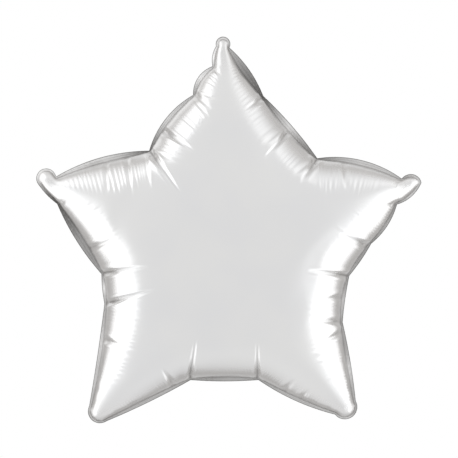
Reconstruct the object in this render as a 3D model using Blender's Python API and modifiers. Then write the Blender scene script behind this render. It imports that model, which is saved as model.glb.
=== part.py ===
"""Star foil balloon: two metallised film panels welded round a scalloped rim, with a folded inflation neck.

Metres, +Z up. The front faces -Y and left and right are as seen from the front. The origin is at the root
of the neck, on the lower edge of the rim in the star's bottom notch, where the balloon is tied.
"""

import math
from collections import namedtuple

import bmesh
import bpy
import numpy as np
from mathutils import Vector
from mathutils.bvhtree import BVHTree
from mathutils.geometry import delaunay_2d_cdt

# Sizes of the whole star.
CENTRE_HEIGHT = 0.158  # from the neck root up to the star's centre
HALF_DEPTH = 0.0785  # from the seam plane to the crown of either panel
WALL = 0.0013  # thickness of a panel
GAP = 0.0003  # left between pieces that touch

# The welded hem.
HEM_THICKNESS = 0.0012
HEM_UNDER_RIM = 0.0022  # how far the hem reaches in under the edge of a panel
HEM_AT_PINCH = 0.0018  # width of hem that shows beside a panel at a pinch
SAMPLES = 6  # straight pieces in each lobe of the rim, an even number

# The domed panels. Gas blows the film up like a soap film over the seam's outline, only fuller at its edge,
# which a power below one of the soap film's height gives.
FULLNESS = 0.44
LATTICE_STEP = 0.0105  # between the points of a panel, away from its rim
LATTICE_REACH = 0.26  # from the star's centre out past its points
SKIRT = 0.0024  # how far a panel runs on past the seam plane before it is trimmed

# Rows of points along the rim of a panel: how far in from it they lie, and how much lower they run at a
# pinch, where the film is gathered, as a share of their height.
Row = namedtuple("Row", "inset groove")
RIM_ROWS = (
    Row(0.0014, 0.30),
    Row(0.0045, 0.20),
    Row(0.0105, 0.10),
)
ROW_CLEARANCE = 0.85  # a row's points stay this share of its inset away from the rim
ROW_SPACING = 0.55  # and this share of it away from each other

# The inflation neck, folded up behind the back panel.
NECK_WIDTH = 0.028
NECK_LYING = 0.050  # length of the neck that lies on the back panel
NECK_FLAT = 0.019  # length of the straight tab at the neck's end
NECK_CLEARANCE = 0.0011  # between the back panel and the neck's inside
NECK_ABOVE_EDGE = 0.0005  # from the back panel's edge down to the neck's inside, on the hem
NECK_STEP = 0.004  # between the points of the neck's path, in height
NECK_FEELERS = 7  # lines across the neck along which the back panel's height is taken
PLY = 0.0008  # thickness of each of the neck's two plies
FILM = 0.0005  # thickness of the valve film and of the side seals
SEAL_WIDTH = 0.004
VALVE_WIDTH = 0.018
FILL_HOLE_RADIUS = 0.005
FILL_HOLE_FROM_END = 0.008

# The rim's outline, clockwise from the left of the top point, about the star's centre. Each lobe runs from
# its start through its crown to the next lobe's start. The hem column is the width of hem at the crown, and
# pinch is 1 where the film is puckered at the lobe's start and 0 where two arcs only meet there.
Lobe = namedtuple("Lobe", "start_x start_z crown_x crown_z hem pinch")
LOBES = (
    Lobe(-0.0150, 0.2150, -0.0153, 0.2270, 0.0025, 1),
    Lobe(-0.0109, 0.2389, -0.0014, 0.2498, 0.0025, 0),
    Lobe(0.0050, 0.2370, 0.0270, 0.2130, 0.0085, 1),
    Lobe(0.0450, 0.1800, 0.0785, 0.1450, 0.0070, 1),
    Lobe(0.1090, 0.1060, 0.1610, 0.1040, 0.0060, 1),
    Lobe(0.2090, 0.0820, 0.2240, 0.0865, 0.0025, 1),
    Lobe(0.2325, 0.0775, 0.2220, 0.0620, 0.0025, 0),
    Lobe(0.2034, 0.0513, 0.1920, 0.0260, 0.0030, 1),
    Lobe(0.1730, 0.0050, 0.1620, -0.0130, 0.0035, 1),
    Lobe(0.1470, -0.0330, 0.1420, -0.0610, 0.0035, 1),
    Lobe(0.1390, -0.0880, 0.1490, -0.1390, 0.0040, 1),
    Lobe(0.1545, -0.1810, 0.1480, -0.2015, 0.0022, 1),
    Lobe(0.1300, -0.1974, 0.0850, -0.1820, 0.0040, 1),
    Lobe(0.0394, -0.1565, 0.0000, -0.1580, 0.0045, 1),
    Lobe(-0.0410, -0.1565, -0.0890, -0.1820, 0.0040, 1),
    Lobe(-0.1400, -0.2050, -0.1570, -0.2045, 0.0022, 1),
    Lobe(-0.1610, -0.1870, -0.1510, -0.1250, 0.0040, 1),
    Lobe(-0.1430, -0.0660, -0.1456, -0.0480, 0.0035, 1),
    Lobe(-0.1465, -0.0310, -0.1760, 0.0080, 0.0080, 1),
    Lobe(-0.1990, 0.0520, -0.2095, 0.0610, 0.0025, 1),
    Lobe(-0.2205, 0.0740, -0.2215, 0.0892, 0.0025, 0),
    Lobe(-0.2003, 0.0844, -0.1435, 0.1080, 0.0065, 1),
    Lobe(-0.0900, 0.1150, -0.0710, 0.1525, 0.0050, 1),
    Lobe(-0.0380, 0.1810, -0.0320, 0.2020, 0.0050, 1),
)

# The runs of hem between a point of the star and a notch, by where each starts, counted in lobes.
Run = namedtuple("Run", "name start")
HEM_RUNS = (
    Run("hem_top_right", 1.5),
    Run("hem_right_upper", 4.0),
    Run("hem_right_lower", 6.0),
    Run("hem_bottom_right_outer", 9.5),
    Run("hem_bottom_right_inner", 11.5),
    Run("hem_bottom_left_inner", 13.5),
    Run("hem_bottom_left_outer", 15.5),
    Run("hem_left_lower", 17.5),
    Run("hem_left_upper", 20.0),
    Run("hem_top_left", 22.0),
)

Look = namedtuple("Look", "colour roughness metallic")
SILVER_FILM = Look((0.72, 0.72, 0.73), 0.20, 1.0)
SILVER_HEM = Look((0.60, 0.60, 0.60), 0.30, 1.0)
CLEAR_FILM = Look((0.80, 0.80, 0.77), 0.35, 0.0)


def clear_scene():
    for existing in list(bpy.data.objects):
        bpy.data.objects.remove(existing, do_unlink=True)


def new_collection(name):
    collection = bpy.data.collections.new(name)
    bpy.context.scene.collection.children.link(collection)
    return collection


def give_material(piece, look):
    material = bpy.data.materials.new(piece.name)
    material.use_nodes = True
    shader = material.node_tree.nodes["Principled BSDF"]
    shader.inputs["Base Color"].default_value = (*look.colour, 1.0)
    shader.inputs["Roughness"].default_value = look.roughness
    shader.inputs["Metallic"].default_value = look.metallic
    piece.data.materials.append(material)


def circle_centre(a, b, c):
    """The centre of the circle through three points."""
    ab = b - a
    ac = c - a
    cross = 2.0 * (ab.x * ac.y - ab.y * ac.x)
    across = (ac.y * ab.length_squared - ab.y * ac.length_squared) / cross
    along = (ab.x * ac.length_squared - ac.x * ab.length_squared) / cross
    return a + Vector((across, along))


def half_arc(start, end, centre, clockwise, count):
    """Points from start up to, but without, end, on the circle about centre."""
    spoke = start - centre
    turn = spoke.angle_signed(end - centre)
    if clockwise and turn < 0:
        turn += 2.0 * math.pi
    if not clockwise and turn > 0:
        turn -= 2.0 * math.pi
    points = []
    for step in range(count):
        angle = -turn * step / count
        turned = Vector((
            spoke.x * math.cos(angle) - spoke.y * math.sin(angle),
            spoke.x * math.sin(angle) + spoke.y * math.cos(angle),
        ))
        points.append(centre + turned)
    return points


def rim_outline():
    """The hem's outer edge, with the width of hem and the share of a pinch at each of its points."""
    points = []
    widths = []
    pinches = []
    half = SAMPLES // 2
    for index, lobe in enumerate(LOBES):
        following = LOBES[(index + 1) % len(LOBES)]
        start = Vector((lobe.start_x, lobe.start_z))
        crown = Vector((lobe.crown_x, lobe.crown_z))
        end = Vector((following.start_x, following.start_z))
        centre = circle_centre(start, crown, end)
        clockwise = (crown - start).cross(end - crown) < 0
        points += half_arc(start, crown, centre, clockwise, half)
        points += half_arc(crown, end, centre, clockwise, half)
        for step in range(SAMPLES):
            fall = 1.0 - math.sin(math.pi * step / SAMPLES)
            pinch = fall * (lobe.pinch if step < half else following.pinch)
            widths.append(lobe.hem + (HEM_AT_PINCH - lobe.hem) * pinch)
            pinches.append(pinch)
    return points, widths, pinches


def moved_in(points, distances):
    """A closed clockwise outline with each point moved inwards by its own distance."""
    count = len(points)
    moved = []
    for index, point in enumerate(points):
        along = points[(index + 1) % count] - points[index - 1]
        inwards = Vector((along.y, -along.x)).normalized()
        moved.append(point + inwards * distances[index])
    return moved


def from_outline(points, outline):
    """The distance of each point from a closed outline."""
    nearest = np.full(len(points), np.inf)
    for start, end in zip(outline, np.roll(outline, -1, axis=0)):
        side = end - start
        share = np.clip((points - start) @ side / (side @ side), 0.0, 1.0)
        gap = np.linalg.norm(points - start - share[:, None] * side, axis=1)
        nearest = np.minimum(nearest, gap)
    return nearest


def inside_outline(points, outline):
    """Which points lie inside a closed outline, by how often a line from each crosses it."""
    inside = np.zeros(len(points), bool)
    x, z = points.T
    for (x0, z0), (x1, z1) in zip(outline, np.roll(outline, -1, axis=0)):
        if z0 != z1:
            inside ^= ((z0 > z) != (z1 > z)) & (x < x0 + (x1 - x0) * (z - z0) / (z1 - z0))
    return inside


def panel_points(edge, pinches):
    """Flat points of a panel, its rim first, with the share of height that a pinch takes from each."""
    rim = np.array(edge)
    points = list(rim)
    lowered = [0.0] * len(rim)
    for row in RIM_ROWS:
        moved = np.array(moved_in(edge, [row.inset] * len(edge)))
        clear = from_outline(moved, rim) > ROW_CLEARANCE * row.inset
        clear &= inside_outline(moved, rim)
        for place, pinch in zip(moved[clear], np.array(pinches)[clear]):
            if np.linalg.norm(np.array(points) - place, axis=1).min() > ROW_SPACING * row.inset:
                points.append(place)
                lowered.append(row.groove * pinch)
    count = int(LATTICE_REACH / LATTICE_STEP)
    across, up = np.meshgrid(np.arange(-count, count + 1), np.arange(-count, count + 1))
    x = (across + 0.5 * (up % 2)) * LATTICE_STEP
    z = up * LATTICE_STEP * math.sqrt(0.75)
    lattice = np.stack((x.ravel(), z.ravel()), axis=1)
    lattice = lattice[inside_outline(lattice, rim)]
    lattice = lattice[from_outline(lattice, rim) > RIM_ROWS[-1].inset + LATTICE_STEP / 2]
    points += list(lattice)
    lowered += [0.0] * len(lattice)
    return np.array(points), np.array(lowered)


def soap_film(points, triangles, rim_count):
    """The height of a film stretched over the rim and lifted by an even pressure, as shares of its crown."""
    stiffness = np.zeros((len(points), len(points)))
    load = np.zeros(len(points))
    for first, second, third in ((0, 1, 2), (1, 2, 0), (2, 0, 1)):
        a, b, c = triangles[:, first], triangles[:, second], triangles[:, third]
        to_a = points[a] - points[c]
        to_b = points[b] - points[c]
        area = np.abs(to_a[:, 0] * to_b[:, 1] - to_a[:, 1] * to_b[:, 0]) / 2
        weight = (to_a * to_b).sum(axis=1) / (4 * area)
        np.add.at(load, c, area / 3)
        for start, end in ((a, b), (b, a)):
            np.add.at(stiffness, (start, end), -weight)
            np.add.at(stiffness, (start, start), weight)
    height = np.zeros(len(points))
    free = slice(rim_count, None)
    height[free] = np.linalg.solve(stiffness[free, free], load[free])
    return height / height.max()


def domed_sheet(edge, pinches):
    """The points of a panel as (x, height, z) with its rim first, and its triangles."""
    flat, lowered = panel_points(edge, pinches)
    count = len(edge)
    rim_edges = [(index, (index + 1) % count) for index in range(count)]
    flat_vectors = [Vector(point) for point in flat.tolist()]
    made = delaunay_2d_cdt(flat_vectors, rim_edges, [], 1, 1e-7)
    triangles = np.array([tuple(face) for face in made[2]])
    share = soap_film(flat, triangles, count) ** FULLNESS
    height = HALF_DEPTH * share * (1.0 - lowered)
    return np.stack((flat[:, 0], height, flat[:, 1]), axis=1), triangles


def add_seam_cutter(name, side, cutters, parent):
    """A box from just short of the hem's face outwards past the other panel."""
    reach = 0.6
    face = side * (HEM_THICKNESS / 2 + GAP)
    bpy.ops.mesh.primitive_cube_add(size=reach)
    box = bpy.context.object
    box.name = name
    for collection in list(box.users_collection):
        collection.objects.unlink(box)
    cutters.objects.link(box)
    box.parent = parent
    box.location = (0.0, face - side * reach / 2, 0.0)
    box.hide_render = True
    box.display_type = "WIRE"
    return box


def add_panel(name, side, sheet, triangles, rim_count, parts, cutters, parent):
    """One domed sheet of film: side is -1 for the front and 1 for the back."""
    mesh = bmesh.new()
    points = [mesh.verts.new((x, side * height, z)) for x, height, z in sheet]
    for triangle in triangles.tolist():
        mesh.faces.new([points[index] for index in triangle])
    skirt = [mesh.verts.new((x, -side * SKIRT, z)) for x, _, z in sheet[:rim_count]]
    for index in range(rim_count):
        after = (index + 1) % rim_count
        mesh.faces.new((points[index], points[after], skirt[after], skirt[index]))
    bmesh.ops.recalc_face_normals(mesh, faces=mesh.faces)
    data = bpy.data.meshes.new(name)
    crown = max(mesh.faces, key=lambda face: side * face.calc_center_median().y)
    if crown.normal.y * side < 0:
        bmesh.ops.reverse_faces(mesh, faces=mesh.faces)
    mesh.to_mesh(data)
    mesh.free()
    panel = bpy.data.objects.new(name, data)
    parts.objects.link(panel)
    panel.parent = parent
    wall = panel.modifiers.new("film wall", "SOLIDIFY")
    wall.thickness = WALL
    wall.offset = -1.0
    trim = panel.modifiers.new("trim at the seam", "BOOLEAN")
    trim.operation = "DIFFERENCE"
    trim.object = add_seam_cutter(name + "_seam_cutter", side, cutters, parent)
    give_material(panel, SILVER_FILM)
    return panel


def add_flat_outline(name, outline, thickness, parts, parent):
    """A flat closed outline given a thickness, as a 2D curve."""
    data = bpy.data.curves.new(name, "CURVE")
    data.dimensions = "2D"
    data.fill_mode = "BOTH"
    data.extrude = thickness / 2
    spline = data.splines.new("POLY")
    spline.points.add(len(outline) - 1)
    for point, place in zip(spline.points, outline):
        point.co = (place[0], place[1], 0.0, 1.0)
    spline.use_cyclic_u = True
    piece = bpy.data.objects.new(name, data)
    parts.objects.link(piece)
    piece.parent = parent
    return piece


def add_hem_run(run, next_start, outer, inner, parts, parent):
    """The strip of welded hem from one split of the rim to the next."""
    count = len(outer)
    first = round(run.start * SAMPLES)
    last = round(next_start * SAMPLES)
    if last <= first:
        last += count
    outside = [outer[index % count].copy() for index in range(first, last + 1)]
    inside = [inner[index % count].copy() for index in range(first, last + 1)]
    for row in (outside, inside):
        row[0] += (row[1] - row[0]).normalized() * GAP / 2
        row[-1] += (row[-2] - row[-1]).normalized() * GAP / 2
    strip = add_flat_outline(run.name, outside + inside[::-1], HEM_THICKNESS, parts, parent)
    strip.rotation_euler.x = math.radians(90.0)
    give_material(strip, SILVER_HEM)


def offset_line(line, distance):
    """A line of (y, z) points moved away from the star's inside."""
    moved = []
    for index, point in enumerate(line):
        before = line[max(index - 1, 0)]
        after = line[min(index + 1, len(line) - 1)]
        along = (after - before).normalized()
        moved.append(point + Vector((along.y, -along.x)) * distance)
    return moved


def smooth_line(line, rounds):
    """Corners cut off the line, leaving its ends."""
    for _ in range(rounds):
        cut = [line[0]]
        for start, end in zip(line, line[1:]):
            cut.append(start.lerp(end, 0.25))
            cut.append(start.lerp(end, 0.75))
        cut.append(line[-1])
        line = cut
    return line


def neck_line(sheet, triangles):
    """The path of the neck's inside as (y, z): off the hem, up the back panel, then straight."""
    surface = BVHTree.FromPolygons(sheet.tolist(), triangles.tolist())
    edge_z = min(z for x, _, z in sheet if abs(x) < NECK_WIDTH / 2)
    line = [Vector((HEM_THICKNESS / 2 + GAP, edge_z - NECK_ABOVE_EDGE))]
    skin = []
    for z in np.arange(edge_z + NECK_ABOVE_EDGE, edge_z + NECK_LYING, NECK_STEP):
        hits = []
        for x in np.linspace(-NECK_WIDTH / 2, NECK_WIDTH / 2, NECK_FEELERS):
            place = surface.ray_cast(Vector((x, 1.0, z)), Vector((0.0, -1.0, 0.0)))[0]
            if place:
                hits.append(place.y)
        skin.append(Vector((max(hits), z)))
    for point in offset_line(skin, NECK_CLEARANCE):
        length = sum((b - a).length for a, b in zip(line, line[1:]))
        if length < NECK_LYING:
            line.append(point)
    line = smooth_line(line, 1)
    straight = (line[-1] - line[-2]).normalized()
    return line + [line[-1] + straight * NECK_FLAT], straight


def add_neck_layer(name, line, inset, thickness, x_from, x_to, look, parts, parent):
    """A strip of the neck lying inset from its inner face, from x_from to x_to across."""
    near = offset_line(line, inset)
    far = offset_line(line, inset + thickness)
    outline = [(p.x, p.y) for p in near + far[::-1]]
    strip = add_flat_outline(name, outline, x_to - x_from, parts, parent)
    strip.rotation_euler = (math.radians(90.0), 0.0, math.radians(90.0))
    strip.location.x = (x_from + x_to) / 2
    give_material(strip, look)
    return strip


def as_mesh(piece):
    """A curve object made a mesh in the same place, with its caps welded on."""
    bpy.context.view_layer.update()
    evaluated = piece.evaluated_get(bpy.context.evaluated_depsgraph_get())
    data = bpy.data.meshes.new_from_object(evaluated)
    mesh = bmesh.new()
    mesh.from_mesh(data)
    bmesh.ops.remove_doubles(mesh, verts=mesh.verts, dist=0.00001)
    bmesh.ops.recalc_face_normals(mesh, faces=mesh.faces)
    mesh.to_mesh(data)
    mesh.free()
    made = bpy.data.objects.new(piece.name + "_mesh", data)
    for collection in piece.users_collection:
        collection.objects.link(made)
    made.parent = piece.parent
    made.matrix_world = piece.matrix_world.copy()
    name = piece.name
    bpy.data.objects.remove(piece, do_unlink=True)
    made.name = name
    return made


def add_neck(sheet, triangles, parts, cutters, parent):
    line, straight = neck_line(sheet, triangles)
    half = NECK_WIDTH / 2
    middle = PLY + GAP
    add_neck_layer("neck_inner_ply", line, 0.0, PLY, -half, half, SILVER_FILM, parts, parent)
    add_neck_layer("neck_seal_left", line, middle, FILM, -half, SEAL_WIDTH - half, SILVER_HEM, parts, parent)
    add_neck_layer("neck_seal_right", line, middle, FILM, half - SEAL_WIDTH, half, SILVER_HEM, parts, parent)
    valve_half = VALVE_WIDTH / 2
    add_neck_layer("valve_film", line, middle, FILM, -valve_half, valve_half, CLEAR_FILM, parts, parent)
    outer_inset = middle + FILM + GAP
    ply = add_neck_layer("neck_outer_ply", line, outer_inset, PLY, -half, half, SILVER_FILM, parts, parent)
    ply = as_mesh(ply)

    away = Vector((straight.y, -straight.x))
    hole = line[-1] - straight * FILL_HOLE_FROM_END + away * (outer_inset + PLY / 2)
    bpy.ops.mesh.primitive_cylinder_add(vertices=24, radius=FILL_HOLE_RADIUS, depth=PLY + GAP)
    punch = bpy.context.object
    punch.name = "fill_hole_cutter"
    for collection in list(punch.users_collection):
        collection.objects.unlink(punch)
    cutters.objects.link(punch)
    punch.parent = parent
    punch.location = (0.0, hole.x, hole.y)
    punch.rotation_euler.x = math.atan2(-away.x, away.y)
    punch.hide_render = True
    punch.display_type = "WIRE"
    cut = ply.modifiers.new("fill hole", "BOOLEAN")
    cut.operation = "DIFFERENCE"
    cut.object = punch


def main():
    clear_scene()
    parts = new_collection("star_foil_balloon")
    cutters = new_collection("cutters")
    centre = bpy.data.objects.new("star_centre", None)
    parts.objects.link(centre)
    centre.location.z = CENTRE_HEIGHT
    bpy.context.view_layer.update()

    outer, widths, pinches = rim_outline()
    edge = moved_in(outer, widths)
    inner = moved_in(outer, [width + HEM_UNDER_RIM for width in widths])
    sheet, triangles = domed_sheet(edge, pinches)
    add_panel("front_panel", -1, sheet, triangles, len(edge), parts, cutters, centre)
    add_panel("back_panel", 1, sheet, triangles, len(edge), parts, cutters, centre)
    for index, run in enumerate(HEM_RUNS):
        next_start = HEM_RUNS[(index + 1) % len(HEM_RUNS)].start
        add_hem_run(run, next_start, outer, inner, parts, centre)
    add_neck(sheet, triangles, parts, cutters, centre)
    bpy.context.view_layer.update()


main()
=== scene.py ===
# %% [markdown]
# # A star foil balloon
# A foil balloon is two flat sheets of metallised film, cut to the same star and welded round the edge.
# Its charm comes from one fact: the film cannot stretch. When gas pushes the sheets apart, the edge has
# to get shorter, so it buckles into scallops, and puckers run inwards from it. This lesson builds it the
# same way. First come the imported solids. They fix the size and the place of every piece, and are never
# moved.

# %% Load the frame
import math
from collections import namedtuple

import bpy
import numpy as np
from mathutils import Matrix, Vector
from mathutils.bvhtree import BVHTree
from mathutils.geometry import delaunay_2d_cdt


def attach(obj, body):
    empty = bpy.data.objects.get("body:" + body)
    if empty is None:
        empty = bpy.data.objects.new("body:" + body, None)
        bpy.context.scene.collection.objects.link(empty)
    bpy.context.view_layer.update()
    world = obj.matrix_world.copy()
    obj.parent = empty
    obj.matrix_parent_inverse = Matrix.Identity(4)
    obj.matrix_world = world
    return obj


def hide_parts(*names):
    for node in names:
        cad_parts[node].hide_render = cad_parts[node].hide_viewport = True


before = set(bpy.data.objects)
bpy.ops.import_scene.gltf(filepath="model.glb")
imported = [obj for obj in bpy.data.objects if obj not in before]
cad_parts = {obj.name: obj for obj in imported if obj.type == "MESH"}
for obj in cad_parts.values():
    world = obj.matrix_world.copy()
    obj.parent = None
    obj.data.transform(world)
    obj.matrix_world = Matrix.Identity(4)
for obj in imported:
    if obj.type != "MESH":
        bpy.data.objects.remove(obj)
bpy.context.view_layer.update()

print("solids:", len(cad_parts))

# %% [markdown]
# ## Camera
# The picture was taken from straight in front and far away, so the star shows no perspective. A long lens
# far back gives the same. As in the picture, it aims a little right of the star's middle and above it.

# %% Camera
STAR_CENTRE = Vector((0.0, 0.0, 0.158))
VIEW_WIDTH = 0.5423
CAMERA_DISTANCE = 6.0
SENSOR_WIDTH = 36.0
AIM_X = 0.0045
AIM_Z = 0.1803

camera_data = bpy.data.cameras.new("camera")
camera_data.sensor_width = SENSOR_WIDTH
camera_data.lens = SENSOR_WIDTH * CAMERA_DISTANCE / VIEW_WIDTH
camera = bpy.data.objects.new("camera", camera_data)
camera.location = (AIM_X, -CAMERA_DISTANCE, AIM_Z)
camera.rotation_euler = (math.radians(90), 0, 0)
bpy.context.scene.collection.objects.link(camera)
bpy.context.scene.camera = camera
print("lens", round(camera_data.lens), "mm")

# %% [markdown]
# ## Shader maths
# A material is a graph of nodes, but sums are easier to read. So `Wire` wraps one socket, and its
# operators add Math nodes. `Nodes` adds every other kind of node.

# %% Helpers for nodes
class Wire:
    """One output socket, on which sums can be written."""

    def __init__(self, nodes, socket):
        self.nodes = nodes
        self.socket = socket

    def maths(self, operation, *values):
        return self.nodes.add("ShaderNodeMath", {"operation": operation}, *values)

    def __add__(self, other):
        return self.maths("ADD", self, other)

    __radd__ = __add__

    def __rsub__(self, other):
        return self.maths("SUBTRACT", other, self)

    def __mul__(self, other):
        return self.maths("MULTIPLY", self, other)

    def __truediv__(self, other):
        return self.maths("DIVIDE", self, other)

    def root(self):
        return self.maths("SQRT", self)

    def sine(self):
        return self.maths("SINE", self)

    def between(self, low, high):
        """0 at low, 1 at high, with a soft start and end."""
        return self.nodes.add("ShaderNodeMapRange", {"interpolation_type": "SMOOTHSTEP"}, self, low, high)


class Nodes:
    """A node tree, with methods that add nodes and links."""

    def __init__(self, tree):
        self.tree = tree

    def add(self, kind, settings=None, *values, output=0, **named):
        node = self.tree.nodes.new(kind)
        for name, value in (settings or {}).items():
            setattr(node, name, value)
        for key, value in list(enumerate(values)) + list(named.items()):
            self.plug(value, node.inputs[key])
        return Wire(self, node.outputs[output])

    def axes(self, output=0):
        """x, y and z of a texture coordinate."""
        node = self.tree.nodes.new("ShaderNodeSeparateXYZ")
        self.plug(self.add("ShaderNodeTexCoord", output=output), node.inputs[0])
        return [Wire(self, socket) for socket in node.outputs]

    def attribute(self, name):
        """A number that is kept at the vertices of the mesh."""
        return self.add("ShaderNodeAttribute", {"attribute_name": name}, output=2)

    def noise(self, scale, detail, where=None, roughness=0.5):
        return self.add("ShaderNodeTexNoise", Vector=where, Scale=scale, Detail=detail, Roughness=roughness)

    def plug(self, value, socket):
        if isinstance(value, Wire):
            self.tree.links.new(value.socket, socket)
        elif value is not None:
            socket.default_value = value

    def shade(self, name, value):
        """Gives one input of the material's shader its value or link."""
        self.plug(value, self.tree.nodes["Principled BSDF"].inputs[name])

    def ramp(self, place, stops):
        """The colour at a place between stops."""
        colour = self.add("ShaderNodeValToRGB", None, place)
        elements = colour.socket.node.color_ramp.elements
        while len(elements) < len(stops):
            elements.new(0.5)
        for element, (position, level, tone) in zip(elements, stops):
            element.position = position
            element.color = (level, level + tone, level + 2 * tone, 1.0)
        return colour

    def mix_colour(self, factor, first, second):
        node = self.tree.nodes.new("ShaderNodeMix")
        node.data_type = "RGBA"
        self.plug(factor, node.inputs[0])
        for socket, colour in ((6, first), (7, second)):
            self.plug(colour if isinstance(colour, Wire) else (*colour, 1.0), node.inputs[socket])
        return Wire(self, node.outputs[2])


def new_material(name):
    """A material with an empty Principled shader, and its nodes."""
    material = bpy.data.materials.new(name)
    material.use_nodes = True
    return material, Nodes(material.node_tree)


OBJECT_COORDINATES = 3
print("node helpers ready")

# %% [markdown]
# ## Light
# Film like this is a soft mirror, so its look is a picture of the room. In the studio the room is a light
# tent: an even grey card round the lens, bright white walls at the sides and at both shoulders, a greyer
# ceiling and floor, darker screens beyond them, and a grey room behind. The world shader paints these by
# direction. The grey card fills the star's flat face. A pucker shows because its two flanks mirror
# different walls. The camera itself sees plain white behind the balloon.

# %% World
world = bpy.data.worlds.new("light_tent")
bpy.context.scene.world = world
world.use_nodes = True
tent = Nodes(world.node_tree)
right, away, up = tent.axes()
GREY_CARD = 0.735
BEHIND = 0.70

# Stops of each wall: the place, from 0 at the camera to 1 straight behind the balloon, the brightness, and
# how much green and blue it gains, which is below 0 where it is warm.
WALLS = (
    # At the sides
    ((0.00, GREY_CARD, 0), (0.16, GREY_CARD, 0), (0.27, 1.28, 0.01), (0.64, 1.15, 0),
     (0.69, 0.47, -0.01), (0.88, 0.43, -0.01), (1.00, BEHIND, 0)),
    # Upper left
    ((0.00, GREY_CARD, 0), (0.28, GREY_CARD, 0), (0.34, 1.25, 0.01), (0.62, 1.10, 0), (0.70, 0.52, -0.01),
     (0.75, 0.52, -0.01), (0.85, 0.95, 0), (0.94, 0.85, 0), (1.00, BEHIND, 0)),
    # Upper right
    ((0.00, GREY_CARD, 0), (0.28, 0.74, 0), (0.35, 1.02, 0), (0.48, 0.90, 0),
     (0.62, 0.58, -0.01), (0.86, 0.50, -0.01), (1.00, BEHIND, 0)),
    # Above
    ((0.00, GREY_CARD, 0), (0.28, 0.74, 0), (0.38, 0.84, 0), (0.50, 0.74, 0),
     (0.64, 0.58, -0.01), (0.74, 0.50, -0.01), (0.86, 0.72, 0), (1.00, BEHIND, 0)),
    # Below
    ((0.00, GREY_CARD, 0), (0.20, GREY_CARD, 0), (0.40, 0.76, 0), (0.62, 0.68, 0),
     (0.78, 0.40, -0.01), (1.00, 0.66, 0)),
)
place = away * 0.5 + 0.5
at_sides, upper_left, upper_right, above, below = (tent.ramp(place, stops) for stops in WALLS)

# Round the line of sight, sideways and height are the sine and cosine of the turn from straight up.
radius = (1.0001 - away * away).root()
sideways = right / radius
height = up / radius
shoulders = tent.mix_colour(sideways.between(-0.20, 0.20), upper_left, upper_right)
upper = tent.mix_colour(height.between(0.74, 0.97), shoulders, above)
room = tent.mix_colour(height.between(0.15, 0.60), at_sides, upper)
room = tent.mix_colour(height.between(-0.62, -0.90), room, below)
seen_by_camera = tent.add("ShaderNodeLightPath")
room = tent.mix_colour(seen_by_camera, room, (1.0, 1.0, 1.0))
tent.plug(room, world.node_tree.nodes["Background"].inputs["Color"])
bpy.context.scene.view_settings.view_transform = "Standard"
print("light tent painted")

# %% [markdown]
# The balloon floats on its tie, so the pale floor lies well below it and shows only from higher up, with
# a soft shadow from one large lamp. Far out it glows a little and fades into the white background. The
# film mirrors neither floor nor lamp, only the tent.

# %% Floor and lamp
FLOOR_RADIUS = 3.2
FLOOR_PLACE = (0.0, 0.0, -0.42)
GLOW_FROM, GLOW_TO = 0.5, 2.6
LAMP_PLACE = (-1.6, -1.8, 2.6)
LAMP_SIZE = 1.6
LAMP_POWER = 45.0

bpy.ops.mesh.primitive_circle_add(vertices=96, radius=FLOOR_RADIUS, fill_type="NGON", location=FLOOR_PLACE)
floor = bpy.context.object
floor.name = "floor"
paper, nodes = new_material("pale_paper")
cloud = nodes.noise(scale=3.0, detail=3.0)
nodes.shade("Base Color", nodes.mix_colour(cloud, (0.86, 0.86, 0.855), (0.89, 0.89, 0.89)))
nodes.shade("Roughness", 0.9)
floor_x, floor_y, _ = nodes.axes(OBJECT_COORDINATES)
from_middle = (floor_x * floor_x + floor_y * floor_y).root()
far_out = from_middle.between(GLOW_FROM, GLOW_TO)
glow = nodes.mix_colour(far_out, (0.0, 0.0, 0.0), (0.45, 0.45, 0.45))
nodes.shade("Emission Color", glow)
nodes.shade("Emission Strength", 1.0)
floor.data.materials.append(paper)
floor.visible_glossy = False

lamp_data = bpy.data.lights.new("large_lamp", "AREA")
lamp_data.shape = "DISK"
lamp_data.size = LAMP_SIZE
lamp_data.energy = LAMP_POWER
lamp = bpy.data.objects.new("large_lamp", lamp_data)
lamp.location = LAMP_PLACE
lamp.rotation_euler = (STAR_CENTRE - lamp.location).to_track_quat("-Z", "Y").to_euler()
lamp.visible_glossy = False
bpy.context.scene.collection.objects.link(lamp)
print("floor at z", floor.location.z)
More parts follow.
